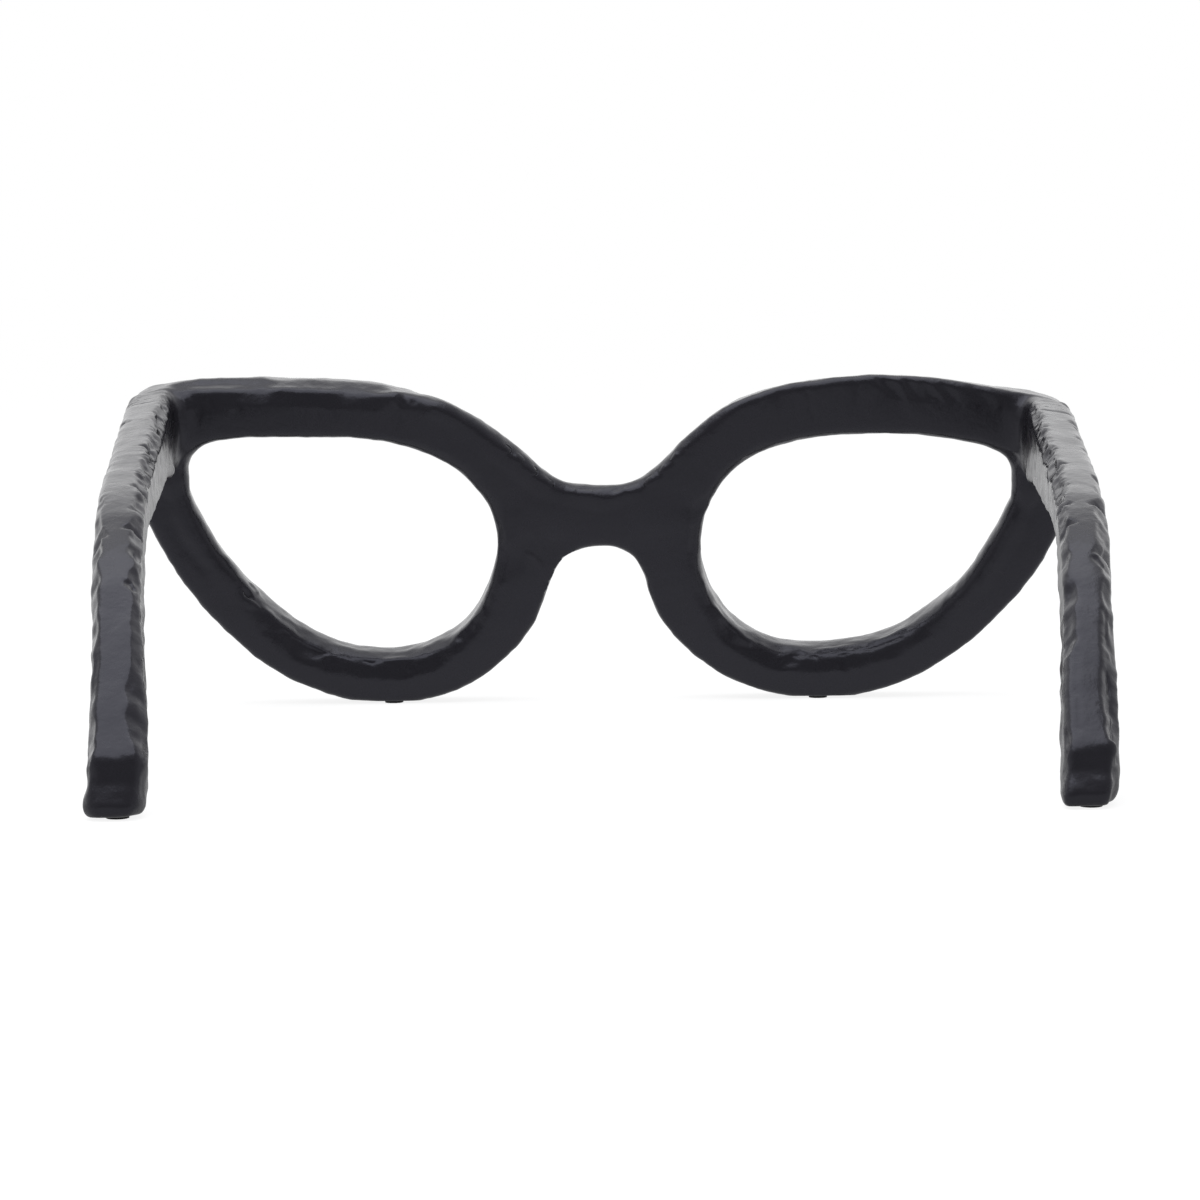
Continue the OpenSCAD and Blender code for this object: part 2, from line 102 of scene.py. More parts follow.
# Strokes of thumb, knife and file on the front. A stroke is a line of points (u, v, w, reach, height), all
# in mm: it raises the surface by height, or sinks it, and fades out to its reach.
FRONT_STROKES = (
    # the inner edge of the left opening is worn round all the way, most at the lower left
    ((-116, 39, 0, 4, -0.5), (-106, 28.5, 0, 7, -1.6), (-97, 21.5, 0, 8, -2.0), (-88, 17, 0, 7.5, -1.8),
     (-78, 14.8, 0, 7, -1.5), (-66, 14.3, 0, 7, -1.5), (-54, 17.4, 0, 6.5, -1.2), (-44, 24.5, 0, 5, -0.8),
     (-37, 36, 0, 4, -0.6),
     (-32, 50, 0, 3.2, -0.7), (-34, 62, 0, 3.5, -0.8), (-40, 73, 0, 3.2, -0.6), (-48, 80, 0, 3.0, -0.5),
     (-60, 85, 0, 2.5, -0.3), (-90, 87, 0, 2.2, -0.2), (-115, 87, 0, 2.2, -0.2), (-128, 85, 0, 2.5, -0.3)),
    # right opening
    ((112, 31, 0, 4, -0.4), (104, 24, 0, 5, -0.9), (93, 18.5, 0, 6, -1.2), (78, 15.2, 0, 6.5, -1.3),
     (64, 14.8, 0, 6.5, -1.4), (52, 17.5, 0, 7, -1.5), (41, 25.3, 0, 6.5, -1.3), (33.6, 37, 0, 5, -1.0),
     (31.5, 52, 0, 4.2, -0.9),
     (32, 62, 0, 3.8, -0.8),
     (40, 74, 0, 3.2, -0.6), (52, 82, 0, 3, -0.5), (70, 86, 0, 2.6, -0.4), (95, 86.5, 0, 2.4, -0.3),
     (118, 84, 0, 2.6, -0.3), (132, 79, 0, 3, -0.5)),
    # wavy top edge of the left bar
    ((-128, 105, 0, 5, 0.3), (-121, 105, 0, 5, 0.3)),
    ((-114, 104.5, 0, 5, -0.7), (-108, 104.5, 0, 6, -1.0)),
    ((-103, 105, 0, 4, 0.6), (-98, 105, 0, 4, 0.5)),
    ((-92, 105, -1, 5, 0.3), (-84, 105, -1, 5, 0.4)),
    ((-80, 104, 0, 6, -0.7), (-74, 103.5, 0, 5, -0.4)),
    ((-70, 103, 0, 5, 0.4), (-65, 102, 0, 4, 0.3)),
    ((-62, 101, 0, 4, -0.7), (-57, 99.5, 0, 4, -0.5)),
    ((-52, 98, 0, 5, 0.5), (-46, 95, 0, 5, 0.4)),
    ((-38, 90, 0, 6, -0.5), (-30, 83, 0, 5, -0.4)),
    # top strip of the left bar
    ((-136, 106, -8, 5, 0.3), (-124, 106.5, -8, 4, 0.5), (-108, 106.5, -9, 4, 0.3)),
    ((-118, 106, -5, 3, -0.4), (-104, 106.5, -4, 3, -0.5)),
    # knife marks below it
    ((-64, 100.5, 0, 2.2, -0.5), (-62, 98, 0, 1.8, -0.5), (-61, 95, 0, 1.2, -0.2)),
    ((-59.5, 100, 0, 1.8, -0.4), (-58.8, 94, 0, 1.4, -0.2)),
    ((-101, 103, 0, 2.2, -0.4), (-102, 99, 0, 1.6, -0.2)),
    ((-86, 102, 0, 2, -0.2), (-85, 94, 0, 1.6, -0.1)),
    ((-116, 101, 0, 3, -0.4), (-115, 98, 0, 2.5, -0.3)),
    ((-124, 100, 0, 1.6, -0.3), (-122, 96, 0, 1.2, -0.2)),
    # seam where each corner was dressed
    ((-131.5, 102, 0, 1.3, 0.3), (-130, 97, 0, 1.4, 0.4), (-129.5, 91, 0, 1.2, 0.25)),
    ((132.5, 98, 0, 1.2, 0.35), (130, 92.5, 0, 1.3, 0.4), (129, 87, 0, 1.1, 0.3)),
    ((127, 96, 0, 1.4, 0.2), (125.5, 91, 0, 1.2, 0.15)),
    # pits in the left shoulder and at the bridge
    ((-40, 86, 0, 0.9, -0.5), (-40.3, 86, 0, 0.9, -0.5)),
    ((-25, 79, 0, 1.2, -0.3), (-22, 76, 0, 1.2, -0.35)),
    ((-19.5, 75, -3, 1.3, -0.6), (-19, 74, -1, 2, -0.5)),
    ((5, 70, -1, 1.5, -0.7), (7, 70, -1, 1.2, -0.6)),
    ((-3, 69.5, -1, 1.4, -0.4), (-2, 69, -1, 1.2, -0.3)),
    ((6, 66, 0, 0.9, -0.3), (6.2, 66, 0, 0.9, -0.3)),
    ((-12, 70, 0, 4, -0.3), (14, 71, 0, 4, -0.3)),
    # left rim, beside the bridge
    ((-32, 43, 0, 4, -0.3), (-28, 48, 0, 5.5, -0.6), (-24, 53, 0, 4, -0.3)),
    ((-24, 49, 0, 1.2, 0.3), (-21, 47.5, 0, 1.3, 0.45), (-19.3, 45, 0, 1.2, 0.4), (-19, 42, 0, 1, 0.2)),
    ((-38, 33, 0, 1.5, -0.3), (-37, 34, 0, 1.5, -0.3)),
    ((-46, 22, 0, 3, -0.4), (-41, 27, 0, 3, -0.4)),
    # gash and folds on the inner edge of the left rim
    ((-116, 38.5, -1, 1.2, -0.9), (-113.5, 37, -0.5, 1.5, -1.3), (-111.5, 36, -0.5, 1.0, -0.8)),
    ((-116, 36, 0, 2.2, 0.4), (-113, 34, 0, 2.6, 0.6), (-110.5, 33.5, 0, 1.6, 0.4)),
    ((-113.5, 39.5, -6, 1.4, 0.5), (-111, 37.5, -8, 1.4, 0.5), (-112.5, 36, -5, 1.2, 0.4)),
    ((-108, 31, -2, 3, 0.6), (-101, 25, -2, 3, 0.5)),
    ((-103, 24, 0, 3, -0.5), (-97, 19.5, 0, 4.5, -0.8), (-92, 17.5, 0, 3, -0.5)),
    ((-100, 23, -4, 1.3, 0.5), (-93, 19, -4, 1.5, 0.6), (-86, 17, -3, 1.3, 0.4)),
    ((-96, 22, -7, 1.2, 0.4), (-88, 18, -7, 1.2, 0.5), (-80, 16, -6, 1.2, 0.3)),
    ((-90, 16, 0, 1.6, 0.5), (-87.5, 16.5, -1, 1.8, 0.6)),
    ((-79, 15, -2, 1.5, -0.6), (-75, 14, -1, 1.9, -0.9), (-72.5, 14.5, -2, 1.5, -0.7)),
    ((-77, 12.5, 0, 1.0, 0.4), (-74.5, 12, 0, 1.0, 0.4)),
    ((-70, 14.5, -2, 2, 0.4), (-63, 15, -2, 2.2, 0.4)),
    ((-108, 22, 0, 1.8, -0.3), (-107, 18, 0, 1.4, -0.2)),
    ((-71.5, 12, 0, 1.6, -0.3), (-70.5, 6, 0, 1.4, -0.2)),
    ((-84, 14, 0, 2.2, -0.25), (-83, 6, 0, 1.8, -0.15)),
    ((-63, 12, 0, 1.3, -0.35), (-64, 8, 0, 1.1, -0.2)),
    # left rim, outer stretch
    ((-137, 60, 0, 3, -0.3), (-133, 53, 0, 4, -0.5), (-127, 46, 0, 3, -0.3)),
    ((-141, 66, 0, 1.5, -0.4), (-133, 66.5, 0, 1.2, -0.3)),
    ((-139, 61.5, 0, 1.3, -0.3), (-132, 62, 0, 1.2, -0.2)),
    ((-129, 57, -3, 2.5, 0.5), (-122, 47, -3, 3, 0.6)),
    # right rim, wrinkled inner edge beside the bridge
    ((29.5, 57, 0, 1.8, -0.4), (29, 51, 0, 2.2, -0.6), (30, 45, 0, 1.6, -0.4)),
    ((31, 54, -3, 1.2, 0.5), (31, 46, -3, 1.4, 0.6), (33, 40, -3, 1.1, 0.4)),
    ((29, 48, 0, 1.2, 0.3), (31, 40, 0, 1.4, 0.4), (35, 33, 0, 1.2, 0.3)),
    ((37, 31, -1, 2.4, 0.4), (40, 27, -1, 2.6, 0.4)),
    ((40, 25, 0, 3, -0.7), (43.5, 21.5, 0, 3.8, -0.9), (47, 19.5, 0, 2.6, -0.5)),
    # smear on the inner edge of the right rim
    ((64, 16, -0.5, 2.6, -0.6), (61.5, 13, 0, 3.4, -0.9), (58, 11.5, 0, 2.4, -0.5)),
    ((68, 15, 0, 1.6, -0.4), (69, 13.5, 0, 1.4, -0.3)),
    ((78, 14, 0, 3, -0.35), (79, 10, 0, 2.4, -0.2)),
    ((70, 15.5, -4, 1.3, 0.4), (85, 16.5, -4, 1.5, 0.5), (98, 22, -4, 1.3, 0.4)),
    ((84, 16, -1, 1.1, -0.4), (96, 20, -1, 1.1, -0.4)),
    ((37, 18, 0, 2, -0.25), (37, 12, 0, 1.6, -0.15)),
    ((49, 11, 0, 2, -0.2), (49.5, 5, 0, 1.6, -0.1)),
    # knife marks on the top edge of the right bar
    ((90, 104.5, 0, 2.4, -0.6), (93, 101.5, 0, 3.2, -0.9), (95.5, 99.5, 0, 2, -0.4)),
    ((98, 104, 0, 2.4, -0.6), (100.5, 101, 0, 3.2, -0.9), (103, 99, 0, 2, -0.4)),
    ((103, 102.5, 0, 2.2, -0.6), (106, 99.5, 0, 2.8, -0.8), (108, 98, 0, 1.8, -0.3)),
    ((109, 102, 0, 2.2, -0.5), (112, 99.5, 0, 2.6, -0.7), (114, 97.5, 0, 1.6, -0.3)),
    ((82, 104, 0, 2.4, -0.3), (82.5, 97, 0, 2, -0.15)),
    ((67, 101, 0, 1.6, -0.25), (68, 95, 0, 1.4, -0.15)),
    ((57, 100, 0, 2.2, -0.25), (58, 93, 0, 1.8, -0.15)),
    ((119, 101, 0, 3, -0.5), (124, 97, 0, 3, -0.4)),
    ((18, 73, 0, 5, -0.4), (28, 84, 0, 5, -0.5), (38, 93, 0, 4, -0.4)),
    # right rim, outer stretch
    ((133, 64, 0, 4, -0.4), (137, 60, 0, 4, -0.3)),
)

# The same on the temples, in (x, y, z, reach, height)
TEMPLE_STROKES = (
    # the left drop is hollowed on its outer side, swells toward the middle above the foot, and its foot
    # toes outward
    ((-137.5, -96, 46, 11, -0.4), (-136.5, -108, 34, 11, -0.8), (-136, -118, 24, 9, -0.4)),
    ((-121, -98, 42, 11, 0.5), (-119, -114, 26, 10, 1.1), (-118, -124, 15, 8, 1.0)),
    ((-117.5, -130, 5, 6, -0.6), (-117.5, -130, 1, 7, -0.9)),
    ((-135.5, -129, 7, 7, 1.4), (-135.5, -127, 1.5, 6.5, 3.0)),
    ((-141, -38, 71, 9, 0.4), (-139.6, -66, 60, 9, 0.6), (-138.4, -80, 50, 9, 0.4)),
    ((141, -42, 68, 9, 0.4), (139.4, -66, 58, 9, 0.6), (138.2, -78, 50, 9, 0.4)),
    # creases that border the strip of the left drop
    ((-134.5, -70, 67, 1.4, -0.15), (-133.6, -84, 58, 1.5, -0.3), (-132.8, -95, 49, 1.4, -0.25),
     (-132, -104, 41, 1.6, -0.4), (-131.8, -112, 32.5, 1.3, -0.25), (-131, -122, 21.5, 1.4, -0.2)),
    ((-125.5, -76, 64.2, 1.8, -0.8), (-124, -77.5, 63, 1.6, -0.7)),
    ((-125.4, -86, 56.8, 1.6, -0.9), (-124, -87.5, 55.8, 1.4, -0.8)),
    # and of the right drop
    ((123.6, -106, 38.2, 1.1, -0.2), (122.8, -114, 30.2, 1.2, -0.4), (122.2, -124, 19.6, 1.1, -0.25)),
    ((132.4, -80, 60.2, 1.5, -0.6), (133.6, -82, 58.7, 1.4, -0.6)),
    ((132.6, -96, 47.5, 1.7, -0.45), (131.8, -102, 42, 1.8, -0.55)),
    ((130.6, -111, 33.2, 2.0, -0.4), (132.4, -114, 29.6, 2.6, -0.4)),
    ((131.4, -118, 25.8, 1.2, 0.2), (132.6, -124, 18.8, 1.2, 0.2)),
    ((134.5, -126, 14, 7, -0.6), (134.2, -128, 6, 6, -1.5), (133, -128, 2, 6, -1.7)),
    # the strips turn into the ends gradually
    ((-133, -131, 10.6, 7.8, -1.7), (-118, -131, 10.6, 7.8, -1.7)),
    ((117.5, -131, 10.8, 7.8, -1.7), (132, -131, 10.8, 7.8, -1.7)),
    # a crease across each temple at its root
    ((-149, 93, 98.4, 1.6, -0.4), (-137, 92, 100.6, 1.6, -0.4)),
    ((-148, 88.5, 98, 1.5, 0.35), (-138, 87.5, 99.8, 1.5, 0.35)),
    ((148, 80, 93, 1.5, -0.35), (138.5, 78, 94.6, 1.5, -0.35)),
    # folds across the outer edges of the temple tops
    ((-146.4, 60, 94.6, 1.6, -0.7), (-148.2, 57, 93.4, 1.8, -0.8)),
    ((146.5, 57, 89.6, 1.6, -0.8), (147.8, 54, 88.4, 1.8, -0.8)),
    ((145, 34, 86.9, 1.4, -0.6), (146.2, 30, 85.6, 1.6, -0.7)),
)

# Top ridges of the temples, as (y, z) and then x, in mm. The inner one is toward the middle of the sculpture.
LEFT_RIDGE_HEIGHTS = (
    (85, 97.4), (70, 96.1), (50, 93), (30, 90), (10, 86.9), (-10, 83.9), (-30, 80.7), (-50, 76.4),
    (-60, 73), (-70, 68.3), (-83, 60), (-91, 53.6), (-99, 46.3), (-107, 38.4), (-115, 29.9), (-123, 21.2),
    (-128, 16),
)
RIGHT_RIDGE_HEIGHTS = (
    (85, 92.8), (70, 91.2), (50, 88.7), (30, 86.1), (10, 83.6), (-10, 81), (-30, 78.3), (-50, 74.2),
    (-60, 70.9), (-70, 66.3), (-83, 58.1), (-91, 51.8), (-99, 44.7), (-107, 37.1), (-115, 28.9),
    (-123, 20.5), (-128, 15.3),
)
# The inner ridges rise toward the root: by how much, and the y of the root and of the end of the rise
SHOULDER = (3.0, 101, -23)
INNER_RIDGE_X = (
    134.8, 133.9, 132.7, 131.4, 130.2, 129, 127.6, 125.8, 124.8, 123.8, 122.4, 121.5, 120.4, 119.3, 118.2,
    117.5, 117,
)
OUTER_RIDGE_X = (
    149, 147.9, 146.5, 145.1, 143.6, 142.2, 140.7, 139, 138.1, 137.2, 136, 135.2, 134.5, 134, 133.3, 132.7,
    132.3,
)
# The knife drawn along each ridge: y, how far the cut is rolled from the top toward the side in degrees, and
# its depth below the sharp edge
LEFT_INNER_BEVEL = (
    (97, 48, 1.0), (86, 50, 1.8), (68, 52, 2.4), (38, 53, 2.7), (10, 52, 2.6), (-20, 50, 2.2),
    (-45, 50, 2.0), (-58, 46, 2.2), (-66, 46, 2.2), (-74, 42, 2.5), (-79, 43, 2.1), (-86, 40, 2.1),
    (-91, 42, 1.9), (-98, 40, 2.3), (-104, 39, 2.8), (-110, 39, 3.0), (-116, 38, 2.9), (-119, 38, 3.2),
    (-122.5, 43, 3.0), (-126, 47, 2.3), (-128, 48, 1.8),
)
LEFT_OUTER_BEVEL = (
    (60, 50, 0.8), (-20, 52, 0.9), (-54, 56, 1.1), (-66, 68, 1.6), (-76, 71, 1.9), (-88, 70, 1.8),
    (-98, 72, 1.5), (-106, 70, 1.3), (-113, 72, 1.5), (-121, 72, 1.6), (-127, 66, 1.4),
)
RIGHT_INNER_BEVEL = (
    (97, 48, 1.0), (84, 50, 1.7), (66, 54, 2.3), (30, 56, 2.7), (0, 54, 2.6), (-30, 50, 2.2),
    (-55, 54, 1.9), (-66, 58, 2.2), (-76, 54, 2.2), (-84, 48, 2.4), (-90, 44, 2.9), (-98, 43, 3.0),
    (-103, 42, 2.9), (-106, 48, 2.1), (-113, 52, 2.0), (-121, 56, 2.0), (-127, 58, 1.7),
)
RIGHT_OUTER_BEVEL = (
    (60, 55, 0.8), (-20, 55, 1.1), (-45, 52, 1.6), (-60, 50, 1.9), (-69, 45, 2.4), (-76, 48, 2.1),
    (-82, 42, 2.8), (-88, 50, 2.1), (-98, 52, 2.2), (-106, 48, 2.6), (-112, 41, 3.3), (-116, 44, 3.2),
    (-120, 56, 3.0), (-126, 60, 2.6),
)
# Chops of the knife into a ridge: y of the wall where the blade stopped, roll, tilt toward the tip, and depth
LEFT_INNER_CHOPS = (
    (79, 52, 9, 2.4), (66, 46, 13, 3.2), (45, 50, 12, 3.1), (38, 44, 20, 2.6), (18, 46, 15, 3.5),
    (6, 56, 14, 2.6), (-15, 45, 13, 3.1), (-33, 44, 15, 3.3), (-38, 58, 14, 2.6), (-54, 44, 14, 3.3),
    (-65, 38, 17, 3.2),
)
LEFT_OUTER_CHOPS = ((57, 45, 16, 2.6), (-69, 50, 18, 3.0))
RIGHT_INNER_CHOPS = (
    (72, 50, 10, 2.6), (51, 45, 14, 3.2), (40, 54, 14, 2.6), (16, 46, 13, 3.2), (-6, 42, 17, 3.6),
    (-27, 52, 13, 2.9), (-34, 44, 18, 2.7), (-53, 44, 13, 3.2), (-65, 42, 16, 3.1),
)
RIGHT_OUTER_CHOPS = ((62, 45, 15, 2.5), (36, 45, 14, 2.3), (-54, 42, 18, 2.9), (-78, 45, 18, 3.0))
# How rough each ridge is, by y
INNER_ROUGHNESS = (
    (95, 0.3), (82, 0.6), (60, 1.0), (0, 1.0), (-40, 0.75), (-58, 0.4), (-75, 0.16), (-128, 0.16),
)
OUTER_ROUGHNESS = ((70, 0), (50, 0.22), (-60, 0.12), (-128, 0.1))
# Each ridge: its side of the sculpture, heights, x, the way its bevel faces, bevel, chops and roughness
RIDGES = (
    (-1, LEFT_RIDGE_HEIGHTS, INNER_RIDGE_X, 1, LEFT_INNER_BEVEL, LEFT_INNER_CHOPS, INNER_ROUGHNESS),
    (-1, LEFT_RIDGE_HEIGHTS, OUTER_RIDGE_X, -1, LEFT_OUTER_BEVEL, LEFT_OUTER_CHOPS, OUTER_ROUGHNESS),
    (1, RIGHT_RIDGE_HEIGHTS, INNER_RIDGE_X, -1, RIGHT_INNER_BEVEL, RIGHT_INNER_CHOPS, INNER_ROUGHNESS),
    (1, RIGHT_RIDGE_HEIGHTS, OUTER_RIDGE_X, 1, RIGHT_OUTER_BEVEL, RIGHT_OUTER_CHOPS, OUTER_ROUGHNESS),
)
# How the knife is held, in mm: it cuts within a reach of its ridge and no deeper than a limit, and its depth
# wavers. Each chop ends at a wall and runs out after a length. Faces are cut by this cosine or more.
RIDGE_REACH = 7.5
DEEPEST_CUT = 4.5
WAVER = 0.8
WAVER_LENGTH = 5.0
CHOP_WALL = 0.9
CHOP_LENGTH = 22
LEAST_COSINE = 0.35
# It starts behind the back face and is at full depth after a run-in, as (w, run-in)
KNIFE_START = (1.5, 4)
# The rough rim of a ridge is full near it, by a share above 1 that is clipped, and fades over this reach
RIM_FULL = 1.3
RIM_REACH = 3.4
# Strokes wander by a coarse and a fine noise, (length, strength), and the knife follows them by a share
WANDERINGS = ((11.0, 1.0), (3.6, 0.4))
KNIFE_WANDERS = 0.7
HAND_SEED = 5
# Clouds that roughen the skin: size in mm, detail and middle level
CLOUDS = {
    "teeth": (5.5, 1, 0.6),
    "wander": (12, 2, 0.5),
    "lumps": (24, 2, 0.5),
    "streaks": (6, 3, 0.5),
    "ripples": (4, 3, 0.5),
}
# A part of a normal that marks a face as top, side or depth face, and the range over which this fades
TOP_FACES = (0.45, 0.2)
SIDE_FACES = (0.6, 0.3)
DEPTH_FACES = (0.75, 0.3)
DEPTH_ROUGHNESS = 0.6

# Outlines of the front in (u, v), whose depth faces are crowned: the lower walls of the openings and the top.
# Each is raised in its middle and drawn back at one edge, by (w, reach, share of the height).
LEFT_OPENING = (
    (-130, 61), (-127, 55), (-117, 41), (-105.5, 29.3), (-93, 20.6), (-80, 16.1), (-66, 15.3), (-54, 18.4),
)
RIGHT_OPENING = (
    (52.5, 18.4), (64, 15.8), (78, 16.2), (93, 19.4), (107, 27.3), (120, 39.7), (129, 54.5), (131, 60),
)
FRONT_TOP = ((-131, 104.9), (-120, 105), (-95, 104.8), (-72, 103))
OPENING_CROWN = ((-9.5, 9.0, 1.0), (FRONT_FACE_W, 6.0, -0.6))
TOP_CROWN = ((-9.0, 9.2, 1.0), (-1, 7.5, -1.6))
# Where a depth face stands proud near the back face, at this w and reach, and draws back at the front face,
# in (u, v, proud by, back by)
PROUD_W = -3.5
PROUD_REACH = 8
PROUD_EDGES = (
    (
        (-70, 102.8, 0, 0), (-52, 98.2, 1.4, 1), (-39, 91, 1.8, 1.2), (-27, 81.5, 1.8, 1.2),
        (-18, 73.5, 1.8, 1.2), (0, 69, 1.8, 1.2), (18, 74.6, 1.5, 1), (27, 83.5, 1.1, 0.8), (46, 97.4, 0, 0),
    ),
    ((-132, 82, 0, 0), (-133.2, 74, 1, 1.2), (-132, 66, 1.2, 1.2), (-128.6, 58, 1.4, 1),
     (-119.5, 44.5, 1.4, 1), (-111, 35, 0, 0)),
    ((131.6, 79, 0, 0), (133.4, 72, 1, 1.2), (132.8, 64, 1.2, 1.2), (129.8, 56, 1.4, 1), (120, 39.7, 1.4, 1),
     (109, 29, 0, 0)),
)
# Webs of clay under the roots of the temples, and the hollows beside them, in (u, v, w, reach, height)
CORNER_WEBS = (
    ((-136, 76, 1, 8, 3.4), (-136.5, 77, 7, 8, 3.8), (-137, 78.5, 15, 7, 2.4), (-137, 80, 24, 5, 0.8)),
    ((136, 70.5, 1, 8, 3.0), (136.5, 71.5, 7, 8, 3.4), (137, 73, 15, 7, 2.2), (137, 75, 24, 5, 0.8)),
    ((-132.6, 84, 2, 5, -1.2), (-132.6, 76, 1, 6, -2.0), (-133, 68, 0.5, 5, 0)),
    ((132.8, 80, 2, 5, -1.2), (133, 73, 1, 6, -2.0), (133, 66, 0.5, 5, 0)),
)
CORNER_HOLLOWS = (
    ((-133.5, 97, 5, 11, 1), (-134, 76, 4, 10, 1)),
    ((133.5, 92, 5, 11, 1), (134, 70, 4, 10, 1)),
)
# The bends of the temples are smoothed with the hollows: y of the bends and reach of the smoothing
BEND_Y = -48
BEND_REACH = 30
# Smoothing is full in the middle of its reach, by a share above 1 that is clipped
SMOOTH_FULL = 1.6
# The first smoothing draws the skin in by about this much, in mm
SHRINKAGE = 0.12

# Points of the CAD solids this close are one point
MERGE_WITHIN = 0.002 * MM
# Weights below this are left out of a vertex group
LEAST_WEIGHT = 0.004
# The weld grooves: how near the joint plane their root lies, in mm, and how far their mouth is pulled out
ROOT_WITHIN = 0.5
MOUTH_OUT = 1.9
PIN_CLEARANCE = 0.1 * MM
# The felt discs, in mm: rings inside the rim, rounding of the rim, size and height of the fluff
FELT_RINGS = (0.12, 0.4, 0.8, 0.8)
FELT_ROUND = 0.1
FLUFF_SIZE = 0.7
FLUFF_HEIGHT = 0.06
# Patterns in repeats per metre: drag marks of 2.4 mm, orange peel of 0.9 mm, patches of sheen of 17 mm,
# drawing lines 0.4 mm apart and 17 mm long, felt fibres of 0.2 mm
DRAG_SCALE = 420.0
PEEL_SCALE = 1100.0
SHEEN_SCALE = 60.0
DRAWING_SCALE = (2500.0, 60.0, 2500.0)
FIBRE_SCALE = 5000.0


class CastingSettings(bpy.types.PropertyGroup):
    """Sizes and colours of the castings."""

    grid: bpy.props.FloatProperty(
        name="Model grid",
        description="Spacing of the points that the castings are modelled with",
        default=0.55 * MM,
        unit="LENGTH",
    )
    lumps: bpy.props.FloatProperty(
        name="Lumps", description="Height of the slow lumps left by the hands",
        default=0.5 * MM, unit="LENGTH",
    )
    wander: bpy.props.FloatProperty(
        name="Wander", description="Height of the lumps that make the edges wander",
        default=0.55 * MM, unit="LENGTH",
    )
    streaks: bpy.props.FloatProperty(
        name="Streaks", description="Height of the roughness of the sides", default=1.0 * MM, unit="LENGTH"
    )
    teeth: bpy.props.FloatProperty(
        name="Teeth", description="Height of the roughness along the ridges", default=3.8 * MM, unit="LENGTH"
    )
    ripples: bpy.props.FloatProperty(
        name="Ripples", description="Height of the short ripples everywhere", default=0.06 * MM, unit="LENGTH"
    )
    barrel: bpy.props.FloatProperty(
        name="Barrel", description="How far the depth faces of the front stand out",
        default=0.8 * MM, unit="LENGTH",
    )
    crown: bpy.props.FloatProperty(
        name="Crown", description="How far the middle of each bar stands out", default=0.6 * MM, unit="LENGTH"
    )
    paint: bpy.props.FloatVectorProperty(
        name="Paint", description="Colour of the paint",
        subtype="COLOR", size=3, default=(0.0104, 0.0097, 0.0124),
    )


class StageSettings(bpy.types.PropertyGroup):
    """Camera and light."""

    focal_length: bpy.props.FloatProperty(
        name="Focal length", description="Focal length of the lens, in millimetres", default=105.0
    )
    softbox: bpy.props.FloatProperty(
        name="Softbox", description="Brightness of the overhead softbox, where 1 is white", default=1.95
    )
    room: bpy.props.FloatProperty(
        name="Room", description="Brightness of the room for plain surfaces, where 1 is white", default=0.7
    )


def hex_colour(code):
    """The linear value of an sRGB hex colour."""
    parts = [int(code[i : i + 2], 16) / 255 for i in (0, 2, 4)]
    return [c / 12.92 if c <= 0.04045 else ((c + 0.055) / 1.055) ** 2.4 for c in parts] + [1.0]


def only(obj):
    """Deselects everything and makes obj the one object at work."""
    if bpy.context.object and bpy.context.object.mode != "OBJECT":
        bpy.ops.object.mode_set(mode="OBJECT")
    for other in bpy.context.scene.objects:
        other.select_set(False)
    obj.hide_set(False)
    obj.select_set(True)
    bpy.context.view_layer.objects.active = obj


def finish_with(obj, kind, **settings):
    """Adds a modifier with its settings and applies it."""
    only(obj)
    mod = obj.modifiers.new(kind.title(), kind)
    for key, value in settings.items():
        setattr(mod, key, value)
    bpy.ops.object.modifier_apply(modifier=mod.name)


def copy_of(obj, name):
    """A copy of an object with its own mesh."""
    made = obj.copy()
    made.data = obj.data.copy()
    made.name = name
    made.data.name = name
    made.parent = None
    made.matrix_world = Matrix.Identity(4)
    for key in [k for k in made.keys() if k.startswith("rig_")]:
        del made[key]
    bpy.context.scene.collection.objects.link(made)
    return made


def joined(parts, name):
    """Several objects made one."""
    only(parts[0])
    for part in parts:
        part.select_set(True)
    if len(parts) > 1:
        bpy.ops.object.join()
    parts[0].name = name
    return parts[0]


def merged_copy(nodes, name):
    """One mesh from copies of CAD nodes, whose loose triangles are merged."""
    made = joined([copy_of(frame["nodes"][n], f"{name}_{n}") for n in nodes], name)
    made.data.materials.clear()
    bpy.ops.object.mode_set(mode="EDIT")
    bpy.ops.mesh.select_all(action="SELECT")
    bpy.ops.mesh.remove_doubles(threshold=MERGE_WITHIN)
    bpy.ops.object.mode_set(mode="OBJECT")
    return made


def loose_parts(obj):
    """The separate shells of a mesh, each as an object of its own."""
    only(obj)
    bpy.ops.mesh.separate(type="LOOSE")
    return list(bpy.context.selected_objects)


def outer_shell(obj):
    """Keeps the largest shell of a mesh, and drops what the remesh left inside it."""
    parts = loose_parts(obj)
    best = max(parts, key=lambda o: len(o.data.vertices))
    for other in parts:
        if other != best:
            bpy.data.objects.remove(other)
    best.name = SKIN
    return best


def vertex_table(obj, what):
    """Three numbers for each vertex."""
    made = np.zeros(len(obj.data.vertices) * 3, np.float32)
    obj.data.vertices.foreach_get(what, made)
    return made.reshape(-1, 3)


def places(obj):
    """The vertex positions, in millimetres."""
    return vertex_table(obj, "co") / MM


def paint_weights(obj, name, weights):
    """A vertex group that holds each point's weight, where it has one."""
    group = obj.vertex_groups.new(name=name)
    for i in np.nonzero(weights > LEAST_WEIGHT)[0]:
        group.add([int(i)], float(min(weights[i], 1.0)), "REPLACE")
    return group.name


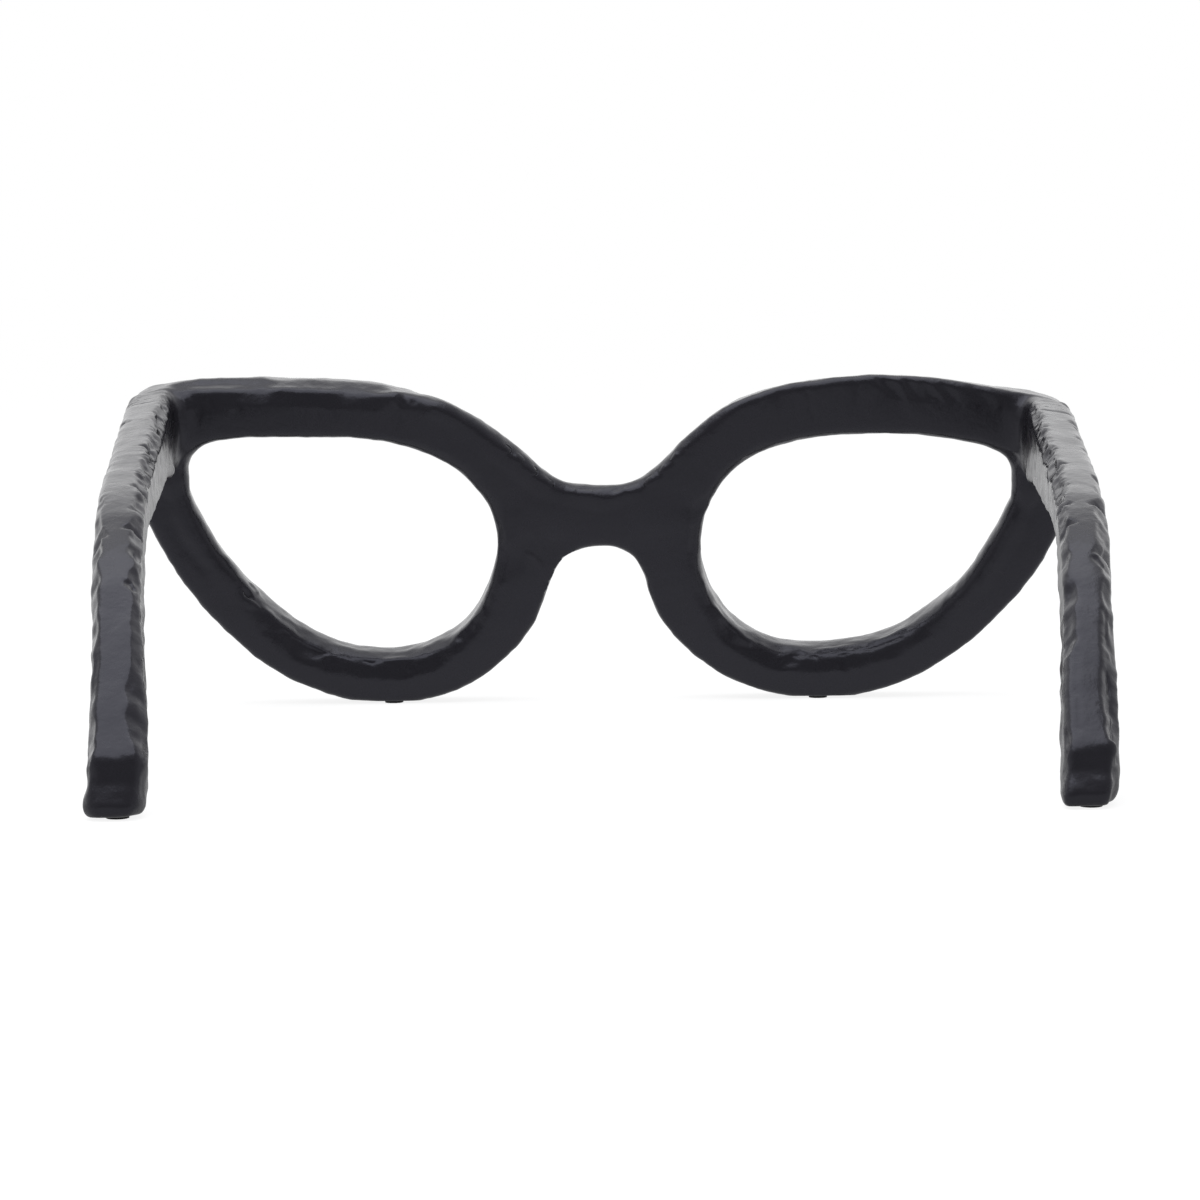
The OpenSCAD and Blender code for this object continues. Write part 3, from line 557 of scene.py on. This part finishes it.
def raise_by(obj, heights, name):
    """Moves the surface out along its normals by heights in millimetres, or in where they are below zero."""
    for sign, part in ((1, "out"), (-1, "in")):
        share = np.clip(heights * sign, 0, None)
        if share.max() <= 0:
            continue
        most = float(share.max())
        group = paint_weights(obj, f"{name}_{part}", share / most)
        finish_with(obj, "DISPLACE", vertex_group=group, strength=sign * most * MM, mid_level=0.0)
    obj.vertex_groups.clear()


def warped(co):
    """Positions pushed about a little, so that no stroke keeps a drawn outline."""
    # without a seed this noise starts from the clock, and runs differ
    noise.seed_set(HAND_SEED)
    still = co.tolist()
    for length, strength in WANDERINGS:
        co = co + strength * np.array([noise.noise_vector(Vector(p) / length) for p in still], np.float32)
    return co


def rise(values, start, span):
    """0 up to start, and from there a straight rise to 1 over the span."""
    return np.clip((values - start) / span, 0, 1)


def fall(values, end, span):
    """A straight fall over the span from 1 to 0 at the end, and 0 beyond it."""
    return np.clip((end - values) / span, 0, 1)


def stroke_heights(co, strokes):
    """The summed height of strokes at each point. Along a stroke reach and height run from point to point."""
    total = np.zeros(len(co), np.float32)
    for stroke in strokes:
        best = np.zeros(len(co), np.float32)
        for start, end in zip(stroke, stroke[1:]):
            a = np.array(start, np.float32)
            step = np.array(end, np.float32) - a
            margin = max(start[3], end[3])
            near = (np.abs(co - (a[:3] + step[:3] / 2)) < margin + np.abs(step[:3]) / 2 + 0.01).all(1)
            near = np.nonzero(near)[0]
            if len(near) == 0:
                continue
            rel = co[near] - a[:3]
            along = np.clip(rel @ step[:3] / max(float(step[:3] @ step[:3]), 1e-6), 0, 1)
            away = np.linalg.norm(rel - along[:, None] * step[:3], axis=1) / (a[3] + along * step[3])
            height = (a[4] + along * step[4]) * np.clip(1 - away**2, 0, None) ** 2
            best[near] = np.where(np.abs(height) > np.abs(best[near]), height, best[near])
        total += best
    return total


def ridge_cuts(co, normals, ridge):
    """How deep the knife went along one ridge of a temple: a bevel drawn along it, and chops into it."""
    side, line, across, toward, bevel, chops, rough = ridge
    ys = np.array([p[0] for p in line], np.float32)[::-1]
    zs = np.array([p[1] for p in line], np.float32)[::-1]
    xs = side * np.array(across, np.float32)[::-1]
    if across is INNER_RIDGE_X:
        most, root, end = SHOULDER
        zs = zs + most * rise(ys, end, root - end)
    slopes = np.arctan(np.gradient(zs, ys))

    def place(y):
        return np.stack([np.interp(y, ys, xs), y, np.interp(y, ys, zs)], -1)

    def blade(y, roll, tilt):
        lean = np.interp(y, ys, slopes)
        roll, tilt = np.radians(roll), np.radians(tilt)
        top = np.stack([0 * lean, -np.sin(lean), np.cos(lean)], -1)
        ahead = np.stack([0 * lean, -np.cos(lean), -np.sin(lean)], -1)
        flat = np.cos(roll)[..., None] * top + np.sin(roll)[..., None] * np.array([toward, 0, 0])
        return np.cos(tilt)[..., None] * flat + np.sin(tilt)[..., None] * ahead

    behind = rise(in_front_plane(co)[:, 2], *KNIFE_START)
    away = np.linalg.norm(co - place(co[:, 1]), axis=1)
    near = np.nonzero((away < RIDGE_REACH) & (behind > 0))[0]
    spots, faces = co[near], normals[near]
    y = spots[:, 1]
    table = np.array(rough, np.float32)[::-1]
    rim = np.zeros(len(co), np.float32)
    share = np.clip(RIM_FULL - away[near] / RIM_REACH, 0, 1) * np.interp(y, table[:, 0], table[:, 1])
    rim[near] = share * behind[near]
    hand = [noise.noise(Vector((0, v, 7.0 * side)) / WAVER_LENGTH) for v in y.tolist()]
    table = np.array(bevel, np.float32)[::-1]
    knife = blade(y, np.interp(y, table[:, 0], table[:, 1]), 0 * y)
    deep = np.interp(y, table[:, 0], table[:, 2], left=0, right=0) + WAVER * np.array(hand, np.float32)
    over = ((spots - place(y)) * knife).sum(1) + deep
    best = np.clip(over, 0, None) / np.clip((faces * knife).sum(1), LEAST_COSINE, None)
    for wall, roll, tilt, depth in chops:
        at = np.float32(wall)
        knife = blade(at, np.float32(roll), np.float32(tilt))
        over = (spots - place(at)) @ knife + depth
        over *= np.clip((y - wall) / CHOP_WALL + 0.5, 0, 1) * (y - wall < CHOP_LENGTH)
        best = np.maximum(best, np.clip(over, 0, None) / np.clip(faces @ knife, LEAST_COSINE, None))
    total = np.zeros(len(co), np.float32)
    total[near] = -np.clip(best, 0, DEEPEST_CUT) * behind[near]
    return total, rim


def in_front_plane(co):
    """Positions in millimetres turned into u, v and w."""
    rel = co - np.array(FOOT) / MM
    axes = np.array([U_AXIS, V_AXIS, W_AXIS], np.float32)
    return rel @ axes.T


def clouds(name, size, depth=2):
    """A procedural cloud texture with lumps of the given size."""
    made = bpy.data.textures.new(name, "CLOUDS")
    made.noise_scale = size
    made.noise_depth = depth
    made.noise_basis = "ORIGINAL_PERLIN"
    return made


def add_node(tree, kind, inputs=None, links=None, **settings):
    """Adds a node with its settings, its plain input values and the sockets that feed it."""
    node = tree.nodes.new(kind)
    for key, value in settings.items():
        setattr(node, key, value)
    for key, value in (inputs or {}).items():
        node.inputs[key].default_value = value
    for key, socket in (links or {}).items():
        tree.links.new(socket, node.inputs[key])
    return node


def new_material(name):
    """An empty node material."""
    made = bpy.data.materials.new(name)
    made.use_nodes = True
    made.node_tree.nodes.clear()
    return made, made.node_tree


def satin_black_paint():
    """Satin black spray paint on cast aluminium: dark and half shiny, with a fine orange peel."""
    name = "satin_black_paint_on_cast_aluminium"
    if name in bpy.data.materials:
        return bpy.data.materials[name]
    settings = bpy.context.scene.eyeglasses_castings
    made, tree = new_material(name)
    place = add_node(tree, "ShaderNodeTexCoord").outputs["Object"]
    drag = add_node(tree, "ShaderNodeTexNoise", {"Scale": DRAG_SCALE, "Detail": 3.0}, {"Vector": place})
    coarse = add_node(
        tree, "ShaderNodeBump", {"Strength": 0.7, "Distance": 0.0002}, {"Height": drag.outputs["Fac"]}
    )
    peel = add_node(tree, "ShaderNodeTexNoise", {"Scale": PEEL_SCALE, "Detail": 2.0}, {"Vector": place})
    fine = add_node(
        tree, "ShaderNodeBump", {"Strength": 0.5, "Distance": 0.00006},
        {"Height": peel.outputs["Fac"], "Normal": coarse.outputs["Normal"]},
    )
    cloud = add_node(tree, "ShaderNodeTexNoise", {"Scale": SHEEN_SCALE, "Detail": 3.0}, {"Vector": place})
    rough = add_node(
        tree, "ShaderNodeMapRange", {"From Min": 0.3, "From Max": 0.7, "To Min": 0.24, "To Max": 0.31},
        {"Value": cloud.outputs["Fac"]},
    )
    shader = add_node(
        tree, "ShaderNodeBsdfPrincipled",
        {"Base Color": (*settings.paint, 1.0), "IOR": 1.40, "Specular Tint": hex_colour("EFF0FF")},
        {"Roughness": rough.outputs["Result"], "Normal": fine.outputs["Normal"]},
    )
    add_node(tree, "ShaderNodeOutputMaterial", None, {"Surface": shader.outputs["BSDF"]})
    return made


def drawn_steel():
    """Plain drawn steel of studs and pins: grey metal with fine lines along the drawing."""
    made, tree = new_material("drawn_steel")
    place = add_node(tree, "ShaderNodeTexCoord").outputs["Object"]
    along = add_node(tree, "ShaderNodeMapping", None, {"Vector": place})
    along.inputs["Scale"].default_value = DRAWING_SCALE
    lines = add_node(
        tree, "ShaderNodeTexNoise", {"Scale": 1.0, "Detail": 2.0}, {"Vector": along.outputs["Vector"]}
    )
    rough = add_node(
        tree, "ShaderNodeMapRange", {"To Min": 0.25, "To Max": 0.42}, {"Value": lines.outputs["Fac"]}
    )
    shader = add_node(
        tree, "ShaderNodeBsdfPrincipled", {"Base Color": hex_colour("9B9DA0"), "Metallic": 1.0},
        {"Roughness": rough.outputs["Result"]},
    )
    add_node(tree, "ShaderNodeOutputMaterial", None, {"Surface": shader.outputs["BSDF"]})
    return made


def pressed_felt():
    """Pressed black wool felt: matt, with a short tangle of fibres."""
    made, tree = new_material("pressed_black_felt")
    place = add_node(tree, "ShaderNodeTexCoord").outputs["Object"]
    fibres = add_node(
        tree, "ShaderNodeTexNoise", {"Scale": FIBRE_SCALE, "Detail": 4.0, "Distortion": 1.5},
        {"Vector": place},
    )
    shade = add_node(
        tree, "ShaderNodeMix", None, {0: fibres.outputs["Fac"]}, data_type="RGBA",
    )
    shade.inputs[6].default_value = hex_colour("141415")
    shade.inputs[7].default_value = hex_colour("2C2C2E")
    bump = add_node(
        tree, "ShaderNodeBump", {"Strength": 0.8, "Distance": 0.00008}, {"Height": fibres.outputs["Fac"]}
    )
    shader = add_node(
        tree, "ShaderNodeBsdfPrincipled", {"Roughness": 0.95, "Sheen Weight": 0.4},
        {"Base Color": shade.outputs[2], "Normal": bump.outputs["Normal"]},
    )
    add_node(tree, "ShaderNodeOutputMaterial", None, {"Surface": shader.outputs["BSDF"]})
    return made


def finish_piece(obj, nodes, material):
    """Gives a finished piece its material and its body, and hides the nodes that it stands for."""
    obj.data.materials.clear()
    obj.data.materials.append(material)
    only(obj)
    bpy.ops.object.shade_smooth()
    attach(obj, "root")
    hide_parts(*nodes)


def cut(obj, point, normal, keep_below):
    """Cuts a closed mesh at a plane, closes the cut and keeps one side."""
    only(obj)
    bpy.ops.object.mode_set(mode="EDIT")
    bpy.ops.mesh.select_all(action="SELECT")
    bpy.ops.mesh.bisect(
        plane_co=point, plane_no=normal, use_fill=True, clear_outer=keep_below, clear_inner=not keep_below,
        threshold=1e-7,
    )
    bpy.ops.object.mode_set(mode="OBJECT")


def groove_cutter(side):
    """The weld groove of a corner, its mouth pulled past the skin."""
    made = merged_copy([f"{side}_corner_weld"], f"{side}_groove")
    co = places(made)
    off_joint = np.abs(in_front_plane(co)[:, 2] - JOINT_W / MM)
    root = np.nonzero(off_joint < ROOT_WITHIN)[0]
    tree = kdtree.KDTree(len(root))
    for i in root:
        tree.insert(co[i], int(i))
    tree.balance()
    for i in np.nonzero(off_joint > ROOT_WITHIN)[0]:
        apex = tree.find(co[i])[0]
        made.data.vertices[int(i)].co = (apex + (Vector(co[i]) - apex) * MOUTH_OUT) * MM
    return made


def pin_cutter(node, clearance):
    """A hole for a stud or pin, along the joint's own axis."""
    low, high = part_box(node)
    across = (high.x - low.x) / 2
    tall = (high - low).length
    bpy.ops.mesh.primitive_cylinder_add(
        vertices=48, radius=across + clearance, depth=tall, location=(low + high) / 2,
        rotation=W_AXIS.to_track_quat("Z", "Y").to_euler(),
    )
    made = bpy.context.object
    bpy.ops.object.transform_apply(location=True, rotation=True, scale=True)
    return made


def carve(obj, cutter, operation):
    """Cuts one closed mesh with another, or keeps what they share."""
    finish_with(obj, "BOOLEAN", object=cutter, operation=operation, solver="EXACT")


def roughen(obj, kind, weights=None):
    """Raises and sinks the surface by a cloud, where the weights allow it."""
    size, detail, level = CLOUDS[kind]
    group = "" if weights is None else paint_weights(obj, kind, weights)
    strength = getattr(bpy.context.scene.eyeglasses_castings, kind)
    finish_with(
        obj, "DISPLACE", texture=clouds(kind, size * MM, detail), vertex_group=group, strength=strength,
        texture_coords="LOCAL", mid_level=level,
    )
    obj.vertex_groups.clear()


def crown_strokes(height, barrel):
    """Strokes that crown the faces of the bars by height, and their depth faces by barrel, in mm."""
    made = []
    for path in (LEFT_RIM_MIDDLE, RIGHT_RIM_MIDDLE, BRIDGE_MIDDLE):
        for w in (0.0, FRONT_FACE_W):
            made.append([(*p, w, CROWN_REACH, height) for p in (*path, path[0])])
    rows = ((LEFT_OPENING, OPENING_CROWN), (RIGHT_OPENING, OPENING_CROWN), (FRONT_TOP, TOP_CROWN))
    for path, crown in rows:
        for w, reach, share in crown:
            made.append([(*p, w, reach, share * barrel) for p in path])
    for path in PROUD_EDGES:
        made.append([(u, v, PROUD_W, PROUD_REACH, proud) for u, v, proud, back in path])
        made.append([(u, v, FRONT_FACE_W, PROUD_REACH, -back) for u, v, proud, back in path])
    return made


def worked_heights(obj):
    """What strokes and knife do at each point, and how much it belongs to the rough rim of a ridge."""
    co = places(obj)
    normals = vertex_table(obj, "normal")
    pushed = warped(co)
    heights = stroke_heights(in_front_plane(pushed), FRONT_STROKES)
    heights += stroke_heights(pushed, TEMPLE_STROKES)
    held = (1 - KNIFE_WANDERS) * co + KNIFE_WANDERS * pushed
    rims = np.zeros(len(co), np.float32)
    for ridge in RIDGES:
        cuts, rim = ridge_cuts(held, normals, ridge)
        heights += cuts
        rims = np.maximum(rims, rim)
    return heights, rims


class CastingSkinOperator(bpy.types.Operator):
    """Models the surface that the three castings and their welds share, as one hand-worked skin"""

    bl_idname = "eyeglasses.casting_skin"
    bl_label = "Casting skin"

    def execute(self, context):
        settings = context.scene.eyeglasses_castings
        skin = merged_copy(CASTINGS, SKIN)
        finish_with(skin, "REMESH", mode="VOXEL", voxel_size=settings.grid, adaptivity=0.0)
        skin = outer_shell(skin)
        finish_with(skin, "SMOOTH", factor=0.5, iterations=10)
        finish_with(skin, "DISPLACE", strength=SHRINKAGE * MM, mid_level=0.0)
        raise_by(skin, stroke_heights(in_front_plane(places(skin)), CORNER_WEBS), "webs")
        co = places(skin)
        hollow = stroke_heights(in_front_plane(co), CORNER_HOLLOWS) * SMOOTH_FULL
        bends = np.clip(SMOOTH_FULL - np.abs(co[:, 1] - BEND_Y) / BEND_REACH, 0, 1)
        bends *= fall(np.abs(vertex_table(skin, "normal")[:, 0]), *TOP_FACES)
        group = paint_weights(skin, "hollows", np.clip(np.maximum(hollow, bends), 0, 1))
        finish_with(skin, "SMOOTH", factor=0.9, iterations=110, vertex_group=group)
        skin.vertex_groups.clear()
        crown = crown_strokes(settings.crown / MM, settings.barrel / MM)
        raise_by(skin, stroke_heights(in_front_plane(places(skin)), crown), "crown")
        heights, rims = worked_heights(skin)
        raise_by(skin, heights, "strokes")
        roughen(skin, "teeth", rims)
        roughen(skin, "wander")
        roughen(skin, "lumps")
        # the sides of the temples and the depth faces of the front were left rougher than the other faces
        normals = vertex_table(skin, "normal")
        side = rise(np.abs(normals[:, 0]), *SIDE_FACES)
        depth = DEPTH_ROUGHNESS * fall(np.abs(normals @ np.array(W_AXIS, np.float32)), *DEPTH_FACES)
        roughen(skin, "streaks", np.where(in_front_plane(places(skin))[:, 2] > CLEAR_W, side, depth))
        roughen(skin, "ripples")
        finish_with(skin, "SMOOTH", factor=0.4, iterations=1)
        finish_with(skin, "DECIMATE", ratio=0.5)
        finish_with(skin, "SMOOTH", factor=0.5, iterations=2)
        cut(skin, (0, 0, PAD_TOP), (0, 0, 1), keep_below=False)
        return {"FINISHED"}


class FrontCastingOperator(bpy.types.Operator):
    """Cuts the front casting, with its two corner stubs, from the skin"""

    bl_idname = "eyeglasses.front_casting"
    bl_label = "Front casting"

    def execute(self, context):
        front = copy_of(bpy.data.objects[SKIN], "front_casting")
        cut(front, FOOT + W_AXIS * JOINT_W, W_AXIS, keep_below=True)
        carve(front, joint_cutter(), "DIFFERENCE")
        finish_piece(front, ["front_frame"], satin_black_paint())
        return {"FINISHED"}


class TempleCastingsOperator(bpy.types.Operator):
    """Cuts the two temple castings from the skin"""

    bl_idname = "eyeglasses.temple_castings"
    bl_label = "Temple castings"

    def execute(self, context):
        both = copy_of(bpy.data.objects[SKIN], "temples")
        cut(both, FOOT + W_AXIS * JOINT_W, W_AXIS, keep_below=False)
        carve(both, joint_cutter(), "DIFFERENCE")
        for part in loose_parts(both):
            side = "left" if places(part)[0][0] < 0 else "right"
            part.name = f"{side}_temple_casting"
            finish_piece(part, [f"{side}_temple"], satin_black_paint())
        return {"FINISHED"}


class CornerWeldsOperator(bpy.types.Operator):
    """Keeps the skin inside each weld groove as the dressed weld"""

    bl_idname = "eyeglasses.corner_welds"
    bl_label = "Corner welds"

    def execute(self, context):
        skin = bpy.data.objects[SKIN]
        for side in SIDES:
            weld = copy_of(skin, f"{side}_dressed_weld")
            groove = groove_cutter(side)
            carve(weld, groove, "INTERSECT")
            bpy.data.objects.remove(groove)
            finish_piece(weld, [f"{side}_corner_weld"], satin_black_paint())
        bpy.data.objects.remove(skin)
        return {"FINISHED"}


def joint_cutter():
    """Both weld grooves and the holes of both studs and both pins, as one cutter."""
    name = "joint_cutter"
    if name in bpy.data.objects:
        return bpy.data.objects[name]
    parts = [groove_cutter(side) for side in SIDES]
    for side in SIDES:
        parts += [pin_cutter(f"{side}_corner_{kind}", PIN_CLEARANCE) for kind in ("stud", "dowel")]
    made = joined(parts, name)
    made.hide_render = True
    return made


class CornerPinsOperator(bpy.types.Operator):
    """Gives the studs and pins inside the corners their steel"""

    bl_idname = "eyeglasses.corner_pins"
    bl_label = "Corner pins"

    def execute(self, context):
        if "joint_cutter" in bpy.data.objects:
            bpy.data.objects.remove(bpy.data.objects["joint_cutter"])
        steel = drawn_steel()
        for side in SIDES:
            for kind in ("stud", "dowel"):
                node = frame["nodes"][f"{side}_corner_{kind}"]
                node.data.materials.clear()
                node.data.materials.append(steel)
        return {"FINISHED"}


class FeltFeetOperator(bpy.types.Operator):
    """Models one felt disc and sets a copy under each rim and each temple tip"""

    bl_idname = "eyeglasses.felt_feet"
    bl_label = "Felt feet"

    def execute(self, context):
        felt = pressed_felt()
        for name in ("left_rim", "right_rim", "left_tip", "right_tip"):
            low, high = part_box(f"{name}_pad")
            bpy.ops.mesh.primitive_cylinder_add(
                vertices=64, radius=(high.x - low.x) / 2, depth=high.z - low.z, location=(low + high) / 2
            )
            disc = bpy.context.object
            disc.name = f"{name}_felt"
            bpy.ops.object.transform_apply(location=True)
            bpy.ops.object.mode_set(mode="EDIT")
            bpy.ops.mesh.select_all(action="SELECT")
            bpy.ops.mesh.select_mode(type="FACE")
            bpy.ops.mesh.select_all(action="DESELECT")
            bpy.ops.object.mode_set(mode="OBJECT")
            for face in disc.data.polygons:
                face.select = abs(face.normal.z) > 0.9
            bpy.ops.object.mode_set(mode="EDIT")
            for width in FELT_RINGS:
                bpy.ops.mesh.inset(thickness=width * MM, use_individual=False)
            bpy.ops.object.mode_set(mode="OBJECT")
            finish_with(disc, "BEVEL", width=FELT_ROUND * MM, segments=2, limit_method="ANGLE")
            finish_with(
                disc, "DISPLACE", texture=clouds(f"{name}_fluff", FLUFF_SIZE * MM), texture_coords="LOCAL",
                strength=FLUFF_HEIGHT * MM, mid_level=1.0,
            )
            finish_piece(disc, [f"{name}_pad"], felt)
        return {"FINISHED"}


class StageOperator(bpy.types.Operator):
    """Sets the floor, the room, the softbox and the camera"""

    bl_idname = "eyeglasses.stage"
    bl_label = "Stage"

    def execute(self, context):
        settings = context.scene.eyeglasses_stage
        add_floor(settings)
        add_room(settings)
        add_softbox(settings)
        add_camera(settings)
        context.scene.view_settings.view_transform = "Standard"
        return {"FINISHED"}


def seen_ray(tree):
    """1 for camera, glossy and transmission rays, which see the white background, and else 0."""
    path = add_node(tree, "ShaderNodeLightPath")
    one = add_node(
        tree, "ShaderNodeMath", None,
        {0: path.outputs["Is Camera Ray"], 1: path.outputs["Is Glossy Ray"]}, operation="MAXIMUM",
    )
    both = add_node(
        tree, "ShaderNodeMath", None,
        {0: one.outputs[0], 1: path.outputs["Is Transmission Ray"]}, operation="MAXIMUM",
    )
    return path, both.outputs[0]


def add_floor(settings):
    """A white floor that keeps a part of the object's soft shadow."""
    bpy.ops.mesh.primitive_circle_add(vertices=128, radius=14, fill_type="NGON")
    floor = bpy.context.object
    floor.name = "floor"
    made, tree = new_material("white_studio_floor")
    path, seen = seen_ray(tree)
    glow_share = 0.78
    floor_white = 0.89
    share = add_node(tree, "ShaderNodeMath", {1: glow_share}, {0: seen}, operation="MULTIPLY")
    lit = add_node(tree, "ShaderNodeBsdfDiffuse", {"Color": hex_colour("F2F2F2")})
    # far from the lamp the lit share and the glow add up to white
    strength = (1 - (1 - glow_share) * floor_white * settings.room) / glow_share
    # the paint reflects less light from the floor in front of the object than from behind it
    place = add_node(tree, "ShaderNodeTexCoord").outputs["Object"]
    split = add_node(tree, "ShaderNodeSeparateXYZ", None, {"Vector": place})
    dim = add_node(
        tree, "ShaderNodeMapRange", {"From Min": -0.1, "From Max": 0.25, "To Min": 0.5, "To Max": 1.0},
        {"Value": split.outputs["Y"]}, interpolation_type="SMOOTHSTEP",
    )
    level = add_node(
        tree, "ShaderNodeMath", None,
        {0: dim.outputs[0], 1: path.outputs["Is Camera Ray"]}, operation="MAXIMUM",
    )
    level = add_node(tree, "ShaderNodeMath", {1: strength}, {0: level.outputs[0]}, operation="MULTIPLY")
    glow = add_node(tree, "ShaderNodeEmission", {"Color": (1, 1, 1, 1)}, {"Strength": level.outputs[0]})
    mix = add_node(
        tree, "ShaderNodeMixShader", None, {0: share.outputs[0], 1: lit.outputs[0], 2: glow.outputs[0]}
    )
    add_node(tree, "ShaderNodeOutputMaterial", None, {"Surface": mix.outputs[0]})
    floor.data.materials.append(made)


def add_room(settings):
    """A white room, darker where the photographer stands."""
    world = bpy.data.worlds.new("studio")
    bpy.context.scene.world = world
    world.use_nodes = True
    tree = world.node_tree
    tree.nodes.clear()
    path, seen = seen_ray(tree)
    direction = add_node(tree, "ShaderNodeTexCoord").outputs["Generated"]
    split = add_node(tree, "ShaderNodeSeparateXYZ", None, {"Vector": direction})
    dim = add_node(
        tree, "ShaderNodeMapRange", {"From Min": -0.9, "From Max": 0.8, "To Min": 0.26, "To Max": 1.5},
        {"Value": split.outputs["Y"]},
    )
    shown = add_node(tree, "ShaderNodeMix", None, {0: path.outputs["Is Camera Ray"], 2: dim.outputs[0]})
    shown.inputs[3].default_value = 1.0
    plain = add_node(tree, "ShaderNodeBackground", {"Color": (1, 1, 1, 1), "Strength": settings.room})
    white = add_node(tree, "ShaderNodeBackground", {"Color": (1, 1, 1, 1)}, {"Strength": shown.outputs[0]})
    mix = add_node(tree, "ShaderNodeMixShader", None, {0: seen, 1: plain.outputs[0], 2: white.outputs[0]})
    add_node(tree, "ShaderNodeOutputWorld", None, {"Surface": mix.outputs[0]})


def add_softbox(settings):
    """A wide softbox overhead, a little cool."""
    data = bpy.data.lights.new("overhead_softbox", "AREA")
    data.shape = "RECTANGLE"
    data.size = 1.5
    data.size_y = 1.6
    data.energy = settings.softbox * math.pi * data.size * data.size_y
    data.color = (0.94, 0.955, 1.0)
    lamp = bpy.data.objects.new("overhead_softbox", data)
    lamp.location = (-0.3, -0.3, 1.3)
    bpy.context.scene.collection.objects.link(lamp)


def add_camera(settings):
    """The camera at the photograph's viewing angle: level with the top of the front, and a little tilted."""
    data = bpy.data.cameras.new("camera")
    camera = bpy.data.objects.new("camera", data)
    bpy.context.scene.collection.objects.link(camera)
    data.sensor_width = 36
    data.sensor_fit = "HORIZONTAL"
    data.lens = settings.focal_length
    data.shift_x = -0.0015
    data.shift_y = 0.0001
    pitch = math.radians(5.157)
    roll = math.radians(0.698)
    forward = Vector((0, math.cos(pitch), -math.sin(pitch)))
    level = Vector((1, 0, 0))
    up = level.cross(forward)
    right = level * math.cos(roll) - up * math.sin(roll)
    turned = Matrix((right, level * math.sin(roll) + up * math.cos(roll), -forward)).transposed().to_4x4()
    turned.translation = Vector((0, -1.0138, 0.1348))
    camera.matrix_world = turned
    bpy.context.scene.camera = camera


class EyeglassesPanel(bpy.types.Panel):
    """Lists the sizes and the steps of the sculpture"""

    bl_idname = "VIEW3D_PT_eyeglasses"
    bl_label = "Giant eyeglasses"
    bl_space_type = "VIEW_3D"
    bl_region_type = "UI"
    bl_category = "Eyeglasses"

    def draw(self, context):
        for group in (context.scene.eyeglasses_castings, context.scene.eyeglasses_stage):
            box = self.layout.box()
            for key in group.bl_rna.properties.keys():
                if key not in ("rna_type", "name"):
                    box.prop(group, key)
        for step in STEPS:
            self.layout.operator(step.bl_idname)


STEPS = (
    CastingSkinOperator,
    FrontCastingOperator,
    TempleCastingsOperator,
    CornerWeldsOperator,
    CornerPinsOperator,
    FeltFeetOperator,
    StageOperator,
)
CLASSES = (CastingSettings, StageSettings, *STEPS, EyeglassesPanel)


def register():
    """Adds the classes and their settings."""
    for one in CLASSES:
        bpy.utils.register_class(one)
    bpy.types.Scene.eyeglasses_castings = bpy.props.PointerProperty(type=CastingSettings)
    bpy.types.Scene.eyeglasses_stage = bpy.props.PointerProperty(type=StageSettings)


def unregister():
    """Takes them away again."""
    del bpy.types.Scene.eyeglasses_stage
    del bpy.types.Scene.eyeglasses_castings
    for one in reversed(CLASSES):
        bpy.utils.unregister_class(one)


def main():
    """Runs every step in order."""
    register()
    for step in STEPS:
        group, name = step.bl_idname.split(".")
        getattr(getattr(bpy.ops, group), name)()


if __name__ == "__main__":
    main()
